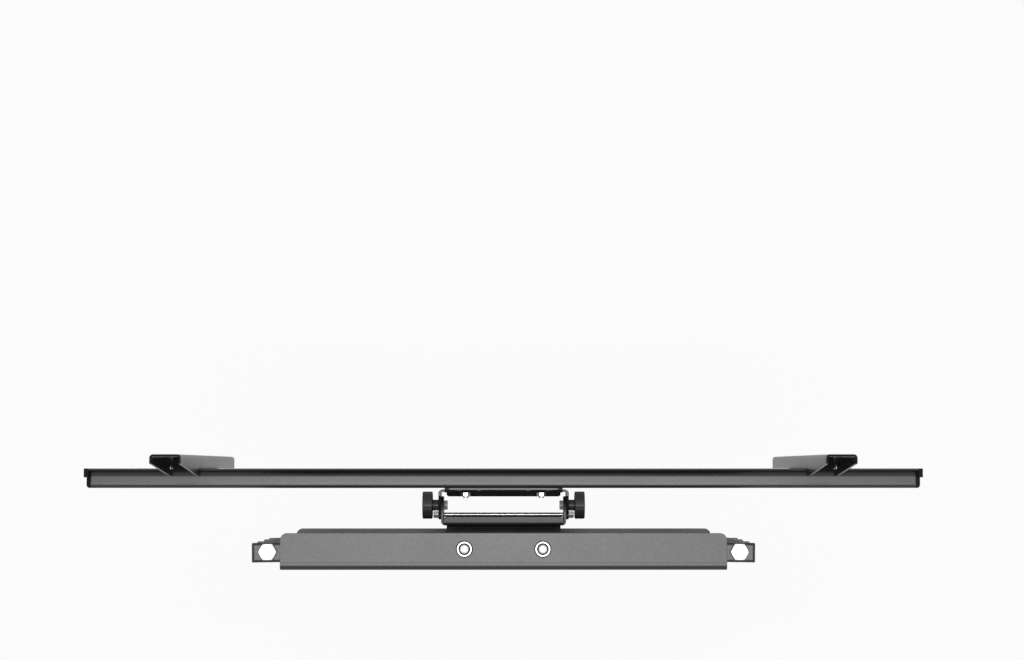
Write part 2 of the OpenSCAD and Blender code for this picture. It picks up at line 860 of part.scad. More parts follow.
// Side view of the yoke's ears, tapered from the web to the tilt axle
module yoke_ear_side() {
    ear_z = yoke_h / 2 - yoke_step;
    neck_d = yoke_rear_d - yoke_step;
    polygon(concat(
        arc_points(axle_d, 0, yoke_tip_r, 90, 270),
        [[neck_d, -ear_z], [neck_d, -yoke_h / 2], [yoke_front_d, -yoke_h / 2],
            [yoke_front_d, yoke_h / 2], [neck_d, yoke_h / 2], [neck_d, ear_z]]
    ));
}

// Curved slot in which the clamp bolt moves as the screen tilts
module clamp_slot() {
    r = clamp_dia / 2 + slot_gap;
    low = -tilt_back - slot_spare;
    high = tilt_forward + slot_spare;
    polygon(concat(
        arc_points(0, 0, clamp_reach + r, low, high),
        arc_points(clamp_reach * cos(high), clamp_reach * sin(high), r, high + 15, high + 165),
        arc_points(0, 0, clamp_reach - r, high, low),
        arc_points(clamp_reach * cos(low), clamp_reach * sin(low), r, low + 195, low + 345)
    ));
}

// Outline of the yoke's lower flange, with its root at y = 0 and its tip towards -y
module yoke_flange_outline(half_w) {
    r = yoke_flange_corner_r;
    polygon(concat(
        [[half_w, through], [-half_w, through]],
        arc_points(r - half_w, r - yoke_flange_d, r, 180, 270),
        arc_points(half_w - r, r - yoke_flange_d, r, 270, 360)
    ));
}

module tilt_yoke() {
    flange_half_w = yoke_half_w - yoke_t - yoke_flange_inset;
    color(coat) from_wall() difference() {
        union() {
            intersection() {
                translate([0, yoke_front_d, 0]) mirror([0, 1, 0])
                    linear_extrude(height = yoke_h, center = true)
                        ear_strip(yoke_half_w, yoke_reach + yoke_tip_r, yoke_t, yoke_t + ear_bend_r);
                translate([-yoke_half_w, 0, 0]) along_x(2 * yoke_half_w) yoke_ear_side();
            }
            translate([0, yoke_rear_d, -yoke_h / 2]) rotate([yoke_flange_a, 0, 0])
                linear_extrude(height = yoke_t) yoke_flange_outline(flange_half_w);
        }
        translate([0, axle_d, 0])
            rod_x(axle_dia / 2 + run_clear, -yoke_half_w - through, yoke_half_w + through);
        both_x() translate([yoke_half_w - yoke_t - through, axle_d, 0])
            along_x(yoke_t + 2 * through) clamp_slot();
        at_yoke_bolts() rod_y(yoke_bolt_r + fit_gap, -yoke_t - through, through);
    }
}

module at_yoke_bolts() {
    both_z() both_x() translate([yoke_bolt_x, yoke_front_d, yoke_bolt_z]) children();
}

module yoke_bolts() {
    color(zinc) from_wall() at_yoke_bolts() {
        translate([0, centre_t, 0]) rotate([-90, 0, 0])
            rivet(yoke_bolt_r, yoke_bolt_r + yoke_bolt_rim, yoke_bolt_head_h, centre_t, yoke_bolt_r,
                through);
        rod_y(yoke_bolt_r, -yoke_t - nut_h - yoke_bolt_end, centre_t / 2);
    }
}

module yoke_nuts() {
    color(zinc) from_wall() at_yoke_bolts() translate([0, -yoke_t, 0]) rotate([90, 0, 0]) difference() {
        hex_head(nut_af, nut_h);
        translate([0, 0, -through]) cylinder(r = yoke_bolt_r + fit_gap, h = nut_h + 2 * through);
    }
}

// Screen frame

module centre_plate() {
    half_z = rail_top_z - rail_bend_r;
    color(coat) from_wall() difference() {
        translate([0, rail_rear_d, 0]) rotate([90, 0, 0]) linear_extrude(height = centre_t)
            round_rect(-centre_half_w, centre_half_w, -half_z, half_z, centre_corner_r, centre_corner_r);
        at_yoke_bolts() rod_y(yoke_bolt_r + fit_gap, -through, centre_t + through);
        at_rail_rivets() rod_y(rail_rivet_r + fit_gap, -centre_t - through, through);
    }
}

module at_rail_rivets() {
    both_z() for (x = rail_rivet_xs) translate([x, rail_rear_d, rail_rivet_z]) children();
}

module rail_rivets() {
    color(coat) from_wall() at_rail_rivets() translate([0, rail_t, 0]) rotate([-90, 0, 0])
        rivet(rail_rivet_r, rail_rivet_r + rail_rivet_rim, rail_rivet_h, rail_t + centre_t,
            rail_rivet_r + rail_rivet_tail_rim, rail_rivet_tail_h);
}

// Roll-formed rail: rear wall, rounded back, flat top, cove and upright lip
module rail_profile() {
    back_d = rail_rear_d + rail_bend_r;
    back_z = rail_top_z - rail_bend_r;
    polygon(concat(
        [[rail_rear_d, rail_low_z]],
        arc_points(back_d, back_z, rail_bend_r, 180, 90),
        arc_points(cove_d, cove_z, rail_cove_r - rail_t, -90, 0),
        [[lip_d - rail_t, lip_z], [lip_d, lip_z]],
        arc_points(cove_d, cove_z, rail_cove_r, 0, -90),
        arc_points(back_d, back_z, rail_bend_r - rail_t, 90, 180),
        [[rail_rear_d + rail_t, rail_low_z]]
    ));
}

module rail() {
    half_l = rail_l / 2 - cap_t;
    difference() {
        translate([-half_l, 0, 0]) along_x(2 * half_l) rail_profile();
        for (x = rail_rivet_xs) translate([x, rail_rear_d, rail_rivet_z])
            rod_y(rail_rivet_r + fit_gap, -through, rail_t + through);
    }
}

module rail_upper() {
    color(coat) from_wall() rail();
}

module rail_lower() {
    color(coat) from_wall() mirror([0, 0, 1]) rail();
}

// Outline of an end cap, as high as the lip in front and as the rail's top behind
module cap_profile() {
    step_d = lip_d - cap_step_d;
    back_d = rail_rear_d + rail_bend_r;
    polygon(concat(
        [[rail_rear_d, rail_low_z]],
        arc_points(back_d, rail_top_z - rail_bend_r, rail_bend_r, 180, 90),
        [[step_d, rail_top_z], [step_d, lip_z], [lip_d, lip_z]],
        arc_points(cove_d, cove_z, rail_cove_r, 0, -90),
        [[rail_rear_d + cap_foot_d, rail_low_z]]
    ));
}

module rail_end_caps() {
    x0 = rail_l / 2 - cap_t;
    x1 = rail_l / 2;
    color(plastic) from_wall() both_z() both_x() intersection() {
        translate([x0, 0, 0]) along_x(cap_t) cap_profile();
        linear_extrude(height = 2 * lip_z + 2, center = true) polygon(concat(
            [[x0, lip_d + through], [x0, rail_rear_d]],
            arc_points(x1 - cap_corner_r, rail_rear_d + cap_corner_r, cap_corner_r, -90, 0),
            [[x1, lip_d + through]]
        ));
    }
}

// Screen brackets, drawn at their place on the +x side

// Side view of a bracket: tapered above, a hook over the upper lip, clear of the lower lip
module bracket_side() {
    half_l = bracket_l / 2;
    clear_d = lip_d + seat_gap;
    hook_in_d = lip_d - rail_t - seat_gap;
    polygon([
        [bracket_front_d, -half_l], [bracket_front_d, half_l], [bracket_front_d - bracket_end_d, half_l],
        [hook_rear_d, lip_z + hook_shoulder], [hook_rear_d, hook_tip_z], [hook_in_d, hook_tip_z],
        [hook_in_d, hook_seat_z], [clear_d, hook_seat_z], [clear_d, -half_l]
    ]);
}

module bracket() {
    depth = bracket_front_d - hook_rear_d;
    wall_x = bracket_x + bracket_w / 2;
    color(coat) from_wall() difference() {
        intersection() {
            translate([bracket_x, bracket_front_d, 0]) mirror([0, 1, 0])
                linear_extrude(height = bracket_l, center = true)
                    ear_strip(bracket_w / 2, depth, bracket_t, bracket_t + ear_bend_r);
            translate([bracket_x - bracket_w / 2, 0, 0]) along_x(bracket_w) bracket_side();
        }
        both_z() for (i = hole_rows) translate([bracket_x, bracket_front_d, i * hole_pitch])
            rod_y(hole_dia / 2, -bracket_t - through, through);
        translate([wall_x, hook_rivet_d, hook_rivet_z])
            rod_x(hook_rivet_r + fit_gap, -bracket_t - through, through);
        translate([wall_x, latch_screw_d, latch_screw_z])
            rod_x(latch_screw_r + fit_gap, -bracket_t - through, through);
    }
}

module bracket_right() {
    bracket();
}

module bracket_left() {
    mirror([1, 0, 0]) bracket();
}

// Short rivet in the outer wall beside the hook, which bears on the lip
module hook_rivet() {
    color(zinc) from_wall() translate([bracket_x + bracket_w / 2 - bracket_t, hook_rivet_d, hook_rivet_z])
        rotate([0, -90, 0]) rivet(hook_rivet_r, hook_rivet_r + hook_rivet_rim, hook_rivet_h, bracket_t,
            hook_rivet_r + hook_rivet_tail_rim, hook_rivet_tail_h);
}

module hook_rivet_right() {
    hook_rivet();
}

module hook_rivet_left() {
    mirror([1, 0, 0]) hook_rivet();
}

// Latch behind the lower lip, which keeps the bracket from swinging off
module bracket_latch() {
    outer_x = bracket_w / 2 - bracket_t - seat_gap;
    inner_x = outer_x - latch_screw_tail_h;
    behind_d = lip_d - rail_t - seat_gap;
    front_d = latch_screw_d + latch_half_h;
    low_z = latch_screw_z - latch_half_h;
    color(coat_dark) from_wall() difference() {
        translate([bracket_x - inner_x, 0, 0]) along_x(inner_x + outer_x) polygon([
            [behind_d - latch_t, latch_tongue - lip_z], [behind_d, latch_tongue - lip_z],
            [behind_d, -lip_z - seat_gap], [front_d, -lip_z - seat_gap], [front_d, low_z],
            [behind_d - latch_t, low_z]
        ]);
        translate([bracket_x, latch_screw_d, latch_screw_z])
            rod_x(latch_screw_r + fit_gap, -inner_x - through, outer_x + through);
    }
}

module bracket_latch_right() {
    bracket_latch();
}

module bracket_latch_left() {
    mirror([1, 0, 0]) bracket_latch();
}

// Screw from the bracket's outer wall through the latch
module latch_screw() {
    grip = bracket_w - bracket_t - seat_gap - latch_screw_tail_h;
    color(zinc) from_wall() translate([bracket_x + bracket_w / 2, latch_screw_d, latch_screw_z])
        rotate([0, 90, 0]) rivet(latch_screw_r, latch_screw_r + latch_screw_rim, latch_screw_h,
            grip, latch_screw_r + latch_screw_tail_rim, latch_screw_tail_h);
}

module latch_screw_right() {
    latch_screw();
}

module latch_screw_left() {
    mirror([1, 0, 0]) latch_screw();
}

wall_plate();
wall_pivot_rivets();
wall_pivot_washers();
rear_arm_left();
rear_arm_right();
wall_bushes_left();
wall_bushes_right();
elbow_bolt_left();
elbow_bolt_right();
elbow_nut_left();
elbow_nut_right();
elbow_washers_left();
elbow_washers_right();
elbow_spacers_left();
elbow_spacers_right();
forearm_left();
forearm_right();
elbow_bush_left();
elbow_bush_right();
head_bush_left();
head_bush_right();
head_bracket();
head_pivot_pins();
head_pivot_washers();
tilt_base();
tilt_base_rivets();
tilt_axle();
axle_nuts();
clamp_bolts();
clamp_knob_left();
clamp_knob_right();
tilt_yoke();
yoke_bolts();
yoke_nuts();
centre_plate();
rail_upper();
rail_lower();
rail_rivets();
rail_end_caps();
bracket_left();
bracket_right();
hook_rivet_left();
hook_rivet_right();
bracket_latch_left();
bracket_latch_right();
latch_screw_left();
latch_screw_right();
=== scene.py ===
import math

import bmesh
import bpy
from mathutils import Matrix, Vector


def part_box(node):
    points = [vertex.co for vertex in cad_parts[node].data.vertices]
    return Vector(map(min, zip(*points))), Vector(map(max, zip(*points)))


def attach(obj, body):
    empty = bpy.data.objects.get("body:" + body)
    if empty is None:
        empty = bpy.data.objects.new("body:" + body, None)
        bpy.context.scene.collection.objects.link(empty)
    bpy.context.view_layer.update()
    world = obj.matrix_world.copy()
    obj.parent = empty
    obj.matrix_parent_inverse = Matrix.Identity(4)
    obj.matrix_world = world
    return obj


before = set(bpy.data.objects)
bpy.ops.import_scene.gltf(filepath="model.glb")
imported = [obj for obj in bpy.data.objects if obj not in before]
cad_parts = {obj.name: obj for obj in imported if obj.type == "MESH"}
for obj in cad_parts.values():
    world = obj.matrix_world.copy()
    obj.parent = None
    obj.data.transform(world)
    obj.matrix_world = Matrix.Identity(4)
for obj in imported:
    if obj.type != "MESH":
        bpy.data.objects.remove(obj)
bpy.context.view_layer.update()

MM = 0.001
SEAM = 0.01 * MM  # keeps the faces of two touching pieces apart
SIDES = (("left", -1), ("right", 1))
WHITE = (1.0, 1.0, 1.0, 1.0)


# Node trees, and the maths on their sockets

class Value:
    """A number or a node's output, on which expressions add their Math nodes."""

    def __init__(self, graph, socket):
        self.graph, self.socket = graph, socket

    def math(self, operation, *others, first=None):
        values = [self if first is None else first, *others]
        return self.graph.value("ShaderNodeMath", {"operation": operation},
                                dict(enumerate(values)))

    def __add__(self, other):
        return self.math("ADD", other)

    __radd__ = __add__

    def __sub__(self, other):
        return self.math("SUBTRACT", other)

    def __rsub__(self, other):
        return self.math("SUBTRACT", self, first=other)

    def __mul__(self, other):
        return self.math("MULTIPLY", other)

    __rmul__ = __mul__

    def __truediv__(self, other):
        return self.math("DIVIDE", other)

    def __rtruediv__(self, other):
        return self.math("DIVIDE", self, first=other)

    def __lt__(self, other):
        return self.math("LESS_THAN", other)

    def __gt__(self, other):
        return self.math("GREATER_THAN", other)

    def smooth(self, low, high):
        """Runs smoothly from 0 at low to 1 at high."""
        return self.graph.value("ShaderNodeMapRange", {"interpolation_type": "SMOOTHSTEP"},
                                {"Value": self, "From Min": low, "From Max": high})


class Graph:
    """A node tree, which one method fills."""

    def __init__(self, tree):
        self.tree = tree
        tree.nodes.clear()

    def node(self, kind, settings=None, sockets=None):
        made = self.tree.nodes.new(kind)
        for key, value in (settings or {}).items():
            setattr(made, key, value)
        for key, value in (sockets or {}).items():
            target = made.inputs[key]
            value = getattr(value, "socket", value)
            if isinstance(value, bpy.types.NodeSocket):
                self.tree.links.new(value, target)
            else:
                target.default_value = value
        return made

    def out(self, kind, settings=None, sockets=None, output=0):
        return self.node(kind, settings, sockets).outputs[output]

    def value(self, *words, **more):
        return Value(self, self.out(*words, **more))


class Finish(Graph):
    """One procedural material of the mount, in Object coordinates."""

    def __init__(self, name):
        self.material = bpy.data.materials.new(name)
        self.material.use_nodes = True
        super().__init__(self.material.node_tree)
        self.place = self.out("ShaderNodeTexCoord", output="Object")

    def noise(self, per_mm, detail=2.0, roughness=0.5, stretch=None):
        vector = self.place
        if stretch:
            vector = self.out("ShaderNodeMapping", None, {"Vector": vector, "Scale": stretch})
        return self.value("ShaderNodeTexNoise", {"noise_dimensions": "3D"},
                          {"Vector": vector, "Scale": per_mm / MM, "Detail": detail,
                           "Roughness": roughness}, "Fac")

    def cells(self, per_mm):
        return self.value("ShaderNodeTexVoronoi", {"feature": "F1"},
                          {"Vector": self.place, "Scale": per_mm / MM}, "Distance")

    def along(self, axis):
        return self.value("ShaderNodeSeparateXYZ", None, {0: self.place}, axis)

    def blend(self, factor, first, second):
        mix_factor, colour_a, colour_b, colour_result = 0, 6, 7, 2
        return self.out("ShaderNodeMix", {"data_type": "RGBA"},
                        {mix_factor: factor, colour_a: first, colour_b: second}, colour_result)

    def rounded(self, radius_mm):
        return self.out("ShaderNodeBevel", {"samples": 6}, {"Radius": radius_mm * MM})

    def bump(self, height, depth_mm, strength, normal=None):
        sockets = {"Height": height, "Distance": depth_mm * MM, "Strength": strength}
        if normal is not None:
            sockets["Normal"] = normal
        return self.out("ShaderNodeBump", None, sockets)

    def shade(self, **sockets):
        surface = self.out("ShaderNodeBsdfPrincipled", None,
                           {key.replace("_", " "): value for key, value in sockets.items()})
        self.node("ShaderNodeOutputMaterial", None, {"Surface": surface})
        return self.material


# Finishes

def grey(value, blue=1.0):
    return (value, value, value * blue, 1.0)


def press_line(coat, depth_mm):
    """Fine line, at its depth from the wall, where the press brake held the sheet."""
    half_width, core = 0.9 * MM, 0.3 * MM
    return (coat.along("Y") + depth_mm * MM).math("ABSOLUTE").smooth(half_width, core)


def rolled_hollow(coat, start_mm):
    """Height in mm of a rolled section, which rises towards the front from its start."""
    slope, curve = 0.14, 0.0024
    flank_mm, flank_curve = 7.0, 0.007
    run = (coat.along("Y") * (-1 / MM) - start_mm).math("MAXIMUM", 0.0)
    flank = (run - flank_mm).math("MAXIMUM", 0.0)
    return run * slope + run * run * curve + flank * flank * flank_curve


def powder_coat(name, level, gloss, edge_mm=0.45, press_line_mm=None, hollow_mm=None):
    """Baked powder coat: fine orange peel, faint clouding and a few pale specks."""
    coat = Finish(name)
    cool = 1.02
    peel = coat.noise(per_mm=0.55, detail=3.0, roughness=0.55)
    grain = coat.noise(per_mm=2.4, detail=1.0)
    cloud = coat.noise(per_mm=0.012).smooth(0.35, 0.65)
    specks = coat.cells(per_mm=0.9).smooth(0.10, 0.04)
    shade = coat.blend(cloud, grey(level * 0.9, cool), grey(level * 1.12, cool))
    shade = coat.blend(specks * 0.25, shade, grey(level * 2.6, cool))
    height = peel + grain * 0.3
    dullness = (peel - 0.5) * 0.12 + cloud * 0.02 + gloss
    if press_line_mm:
        line = press_line(coat, press_line_mm)
        height, dullness = height - line * 0.6, dullness + line * 0.06
    normal = coat.rounded(edge_mm)
    if hollow_mm:
        normal = coat.bump(rolled_hollow(coat, hollow_mm), depth_mm=1.0, strength=1.0,
                           normal=normal)
    normal = coat.bump(height, depth_mm=0.03, strength=0.4, normal=normal)
    return coat.shade(Base_Color=shade, Roughness=dullness, Specular_IOR_Level=0.42,
                      Normal=normal)


def zinc_plate(name):
    """Bright zinc plating: soft brushed grain and slight passivation tint."""
    zinc = Finish(name)
    bright, tinted = (0.66, 0.67, 0.69, 1.0), (0.58, 0.60, 0.63, 1.0)
    grain = zinc.noise(per_mm=1.6, detail=3.0, roughness=0.6)
    cloud = zinc.noise(per_mm=0.08).smooth(0.3, 0.7)
    normal = zinc.bump(grain, depth_mm=0.008, strength=0.3, normal=zinc.rounded(0.3))
    return zinc.shade(Base_Color=zinc.blend(cloud, bright, tinted), Metallic=1.0,
                      Roughness=0.48 + (grain - 0.5) * 0.16, Normal=normal)


def drawn_bar(name):
    """Oiled drawn bar: dark metal with fine draw lines along its length."""
    steel = Finish(name)
    bare, oiled = (0.31, 0.31, 0.32, 1.0), (0.25, 0.255, 0.265, 1.0)
    lines = steel.noise(per_mm=1.2, detail=3.0, roughness=0.6, stretch=(0.04, 1.0, 1.0))
    cloud = steel.noise(per_mm=0.05).smooth(0.3, 0.7)
    return steel.shade(Base_Color=steel.blend(cloud, bare, oiled), Metallic=1.0,
                       Roughness=0.30 + (lines - 0.5) * 0.14,
                       Normal=steel.bump(lines, depth_mm=0.006, strength=0.3))


def moulded_plastic(name, level, gloss, shine):
    """Moulded plastic: spark-eroded grain and faint clouding."""
    plastic = Finish(name)
    grain = plastic.noise(per_mm=1.5, roughness=0.6)
    cloud = plastic.noise(per_mm=0.06).smooth(0.3, 0.7)
    normal = plastic.bump(grain, depth_mm=0.03, strength=0.5, normal=plastic.rounded(0.3))
    return plastic.shade(Base_Color=plastic.blend(cloud, grey(level), grey(level * 1.5)),
                         Roughness=gloss + (grain - 0.5) * 0.2,
                         Specular_IOR_Level=shine, Normal=normal)


def sintered_bronze(name):
    """Sintered bush metal: open pores that hold oil."""
    bronze = Finish(name)
    fresh, worn, pore = (0.46, 0.33, 0.17, 1.0), (0.36, 0.25, 0.13, 1.0), (0.10, 0.07, 0.04, 1.0)
    pores = bronze.cells(per_mm=3.2).smooth(0.18, 0.05)
    cloud = bronze.noise(per_mm=0.15).smooth(0.3, 0.7)
    shade = bronze.blend(pores, bronze.blend(cloud, fresh, worn), pore)
    normal = bronze.bump(pores, depth_mm=-0.02, strength=0.6, normal=bronze.rounded(0.2))
    return bronze.shade(Base_Color=shade, Metallic=0.9, Roughness=0.34 + pores * 0.3,
                        Normal=normal)


finishes = {name: make(name, **look) for name, make, look in (
    ("powder_coat", powder_coat, dict(level=0.011, gloss=0.35)),
    ("wall_coat", powder_coat, dict(level=0.011, gloss=0.35, press_line_mm=7.3)),
    ("rolled_coat", powder_coat, dict(level=0.011, gloss=0.33, edge_mm=1.3, hollow_mm=87.6)),
    # a darker, duller copy of the coat, as painted shade on the tilt base; the elbow spacers and
    # latch wear it too
    ("dark_powder_coat", powder_coat, dict(level=0.008, gloss=0.44)),
    ("bright_zinc", zinc_plate, {}),
    ("drawn_steel", drawn_bar, {}),
    ("black_plastic", moulded_plastic, dict(level=0.010, gloss=0.58, shine=0.30)),
    # black rubber of the rail's end caps, and the black of painted shade on the pivot rings, lip
    # pads, yoke strip and bracket rims
    ("black_rubber", moulded_plastic, dict(level=0.005, gloss=0.85, shine=0.15)),
    # pale plastic as a painted highlight on the knobs' parting lines
    ("worn_plastic", moulded_plastic, dict(level=0.10, gloss=0.35, shine=0.5)),
    ("bush_bronze", sintered_bronze, {}),
)}

# The first row with a word of a CAD piece's name gives its finish, and the rest get plain coat
WORN_BY = (
    ("powder_coat", "tilt_base_rivets rail_rivets"),
    # the shaded coat paints shade on the tilt base
    ("dark_powder_coat", "elbow_spacers bracket_latch tilt_base"),
    ("drawn_steel", "tilt_axle"),
    ("black_rubber", "rail_end_caps"),
    ("black_plastic", "clamp_knob"),
    ("wall_coat", "wall_plate"),
    ("rolled_coat", "rail_upper rail_lower"),
    ("bush_bronze", "bush"),
    ("bright_zinc", "pivot_rivets pivot_washers pivot_pins hook_rivet latch_screw elbow_bolt"
                    " elbow_nut elbow_washers axle_nuts clamp_bolts yoke_bolts yoke_nuts"),
)

for name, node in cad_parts.items():
    finish = next((row for row, words in WORN_BY if any(word in name for word in words.split())),
                  "powder_coat")
    node.data.materials.clear()
    node.data.materials.append(finishes[finish])


# Pieces

def put_on(piece, body, finish):
    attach(piece, body)


def new_object(name, data):
    made = bpy.data.objects.new(name, data)
    bpy.context.scene.collection.objects.link(made)
    return made


def face_outwards(shell, mesh):
    bmesh.ops.recalc_face_normals(shell, faces=shell.faces[:])
    shell.to_mesh(mesh)
    shell.free()


def shell_piece(name, body, finish, shell):
    """A piece from one closed shell, on its body."""
    mesh = bpy.data.meshes.new(name)
    face_outwards(shell, mesh)
    mesh.materials.append(finishes[finish])
    put_on(new_object(name, mesh), body, finish)


def arc(x, y, radius, start, stop, steps):
    """Points of an arc round (x, y), between two angles in degrees."""
    angles = [math.radians(start + (stop - start) * i / steps) for i in range(steps + 1)]
    return [(x + radius * math.cos(a), y + radius * math.sin(a)) for a in angles]


def swept_shell(sections):
    """Closed shell through a row of sections with as many points each."""
    shell = bmesh.new()
    rows = [[shell.verts.new(point) for point in section] for section in sections]
    for here, there in zip(rows, rows[1:]):
        for i in range(len(here)):
            shell.faces.new((here[i - 1], there[i - 1], there[i], here[i]))
    for end in (rows[0], rows[-1]):
        shell.faces.new(end)
    return shell


class Pattern(Graph):
    """A Geometry Nodes tree that makes one kind of small part at each of its places."""

    def __init__(self, name, **sizes):
        self.name = name
        super().__init__(bpy.data.node_groups.new(name, "GeometryNodeTree"))
        self.socket("Places", "NodeSocketGeometry")
        for key, value in sizes.items():
            kind = "NodeSocketInt" if isinstance(value, int) else "NodeSocketFloat"
            self.socket(key.replace("_", " "), kind).default_value = value
        self.socket("Finish", "NodeSocketMaterial")
        self.socket("Pieces", "NodeSocketGeometry", "OUTPUT")
        self.inputs = self.node("NodeGroupInput").outputs

    def socket(self, name, kind, way="INPUT"):
        return self.tree.interface.new_socket(name, in_out=way, socket_type=kind)

    def size(self, name):
        return Value(self, self.inputs[name])

    def vector(self, x=0.0, z=0.0):
        return self.out("ShaderNodeCombineXYZ", None, {"X": x, "Z": z})

    def circle(self, radius, corners):
        return self.out("GeometryNodeCurvePrimitiveCircle", None,
                        {"Resolution": corners, "Radius": radius})

    def sweep(self, path, section, capped=False):
        return self.out("GeometryNodeCurveToMesh", None,
                        {"Curve": path, "Profile Curve": section, "Fill Caps": capped})

    def at_places(self, shape):
        """Puts the shape on every place, turned by the place's own attribute."""
        turn = self.out("GeometryNodeInputNamedAttribute", {"data_type": "FLOAT_VECTOR"},
                        {"Name": "turn"}, "Attribute")
        turn = self.out("FunctionNodeEulerToRotation", None, {0: turn})
        return self.out("GeometryNodeInstanceOnPoints", None,
                        {"Points": self.inputs["Places"], "Instance": shape, "Rotation": turn})

    def end(self, shape, smooth_below=40.0):
        """Realizes the parts, smooths edges that bend by fewer degrees, and finishes them."""
        real = self.out("GeometryNodeRealizeInstances", None, {0: shape})
        angle = self.value("GeometryNodeInputMeshEdgeAngle", output="Unsigned Angle")
        for domain, soft in (("EDGE", angle < math.radians(smooth_below)), ("FACE", True)):
            real = self.out("GeometryNodeSetShadeSmooth", {"domain": domain},
                            {"Geometry": real, "Shade Smooth": soft})
        painted = self.out("GeometryNodeSetMaterial", None,
                           {"Geometry": real, "Material": self.inputs["Finish"]})
        self.node("NodeGroupOutput", None, {"Pieces": painted})
        return self

    def make(self, name, body, finish, places, edges=(), **sizes):
        """One plain mesh that rides on a body; a place is (x, y, z) or (x, y, z, turn)."""
        points = bpy.data.meshes.new(name)
        points.from_pydata([place[:3] for place in places], edges, [])
        turns = points.attributes.new("turn", "FLOAT_VECTOR", "POINT")
        for i, place in enumerate(places):
            turns.data[i].vector = place[3] if len(place) > 3 else (0, 0, 0)
        piece = new_object(name, points)
        modifier = piece.modifiers.new(self.name, "NODES")
        modifier.node_group = self.tree
        values = {key.replace("_", " "): value for key, value in sizes.items()}
        values["Finish"] = finishes[finish]
        for item in self.tree.interface.items_tree:
            if item.in_out == "INPUT" and item.name in values:
                modifier[item.identifier] = values[item.name]
        evaluated = piece.evaluated_get(bpy.context.evaluated_depsgraph_get())
        made = bpy.data.meshes.new_from_object(evaluated)
        piece.modifiers.remove(modifier)
        piece.data = made
        bpy.data.meshes.remove(points)
        made.name = name
        shell = bmesh.new()
        shell.from_mesh(made)
        face_outwards(shell, made)
        put_on(piece, body, finish)


def ring_pattern():
    """Flat ring with softened edges, lying on its place."""
    ring = Pattern("ring", Inner_Radius=0.004, Outer_Radius=0.006, Height=0.001,
                   Softness=0.0002)
    inner, outer, height = (ring.size(name) for name in ("Inner Radius", "Outer Radius", "Height"))
    section = ring.out("GeometryNodeCurvePrimitiveQuadrilateral", None,
                       {"Width": outer - inner, "Height": height})
    section = ring.out("GeometryNodeFilletCurve", {"mode": "POLY"},
                       {"Curve": section, "Radius": ring.size("Softness"), "Count": 3})
    shape = ring.sweep(ring.circle((inner + outer) * 0.5, corners=64), section)
    lifted = ring.out("GeometryNodeTransform", None,
                      {"Geometry": shape, "Translation": ring.vector(z=height * 0.5)})
    return ring.end(ring.at_places(lifted))


def thread_pattern():
    """Helical ridge of a thread, rising from its place."""
    thread = Pattern("thread", Radius=0.005, Pitch=0.0015, Length=0.002, Ridge=0.0004)
    radius, length = thread.size("Radius"), thread.size("Length")
    path = thread.out("GeometryNodeCurveSpiral", None,
                      {"Resolution": 40, "Rotations": length / thread.size("Pitch"),
                       "Start Radius": radius, "End Radius": radius, "Height": length})
    shape = thread.sweep(path, thread.circle(thread.size("Ridge"), corners=6), capped=True)
    return thread.end(thread.at_places(shape), smooth_below=20.0)


def weld_pattern():
    """Weld bead of overlapping drops, running along +X from its place."""
    weld = Pattern("weld", Length=0.03, Step=0.0011, Width=0.0014, Seed=4)
    step = weld.size("Step")
    line = weld.out("GeometryNodeMeshLine", {"mode": "OFFSET"},
                    {"Count": weld.size("Length") / step, "Offset": weld.vector(x=step)})
    smallest, largest, number = 2, 3, 1
    vary = weld.out("FunctionNodeRandomValue", {"data_type": "FLOAT"},
                    {smallest: 0.85, largest: 1.15, "Seed": weld.size("Seed")}, number)
    drop = weld.out("GeometryNodeMeshIcoSphere", None,
                    {"Radius": weld.size("Width"), "Subdivisions": 3})
    drop = weld.out("GeometryNodeTransform", None,
                    {"Geometry": drop, "Scale": (0.75, 1.0, 0.8)})
    bead = weld.out("GeometryNodeInstanceOnPoints", None,
                    {"Points": line, "Instance": drop, "Scale": vary})
    return weld.end(weld.at_places(bead))


def line_pattern():
    """Fine raised line along the edges between its places."""
    line = Pattern("line", Radius=0.0002)
    path = line.out("GeometryNodeMeshToCurve", None, {"Mesh": line.inputs["Places"]})
    return line.end(line.sweep(path, line.circle(line.size("Radius"), corners=8), capped=True))


ring, thread, weld, line = ring_pattern(), thread_pattern(), weld_pattern(), line_pattern()


def middle(name):
    return [(a + b) / 2 for a, b in zip(*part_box(name))]


# Sheet thicknesses in the CAD model, and the places of its pivots
head_t, yoke_t, bracket_t, washer_t = 2.5 * MM, 2.5 * MM, 2.0 * MM, 1.5 * MM
UNDER = (math.pi, 0.0, 0.0)
wall_washers, head_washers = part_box("wall_pivot_washers"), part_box("head_pivot_washers")
washer_r = (wall_washers[1][1] - wall_washers[0][1]) / 2
pivot_x = wall_washers[1][0] - washer_r
wall_y = middle("wall_pivot_washers")[1]
yoke_low, yoke_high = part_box("tilt_yoke")

# Black rings of painted shade: in the gap round the rivets' heads, and round the washers as their
# contact shadow
rivet_r = 4.6 * MM
gap_shade = dict(Inner_Radius=rivet_r + 2 * SEAM, Outer_Radius=6.1 * MM, Height=0.5 * MM,
              Softness=0.1 * MM)
contact_shadow = dict(Inner_Radius=washer_r + 2 * SEAM, Outer_Radius=washer_r + 1.1 * MM,
            Height=0.6 * MM, Softness=0.1 * MM)
for body, (low, high) in (("wall", wall_washers), ("head", head_washers)):
    y = (low[1] + high[1]) / 2
    for part, sizes, sunk in (("collars", gap_shade, 0.0), ("seals", contact_shadow, washer_t)):
        ring.make(body + "_pivot_" + part, body, "black_rubber",
                  [(x, y, high[2] - sunk) for x in (-pivot_x, pivot_x)]
                  + [(x, y, low[2] + sunk, UNDER) for x in (-pivot_x, pivot_x)], **sizes)

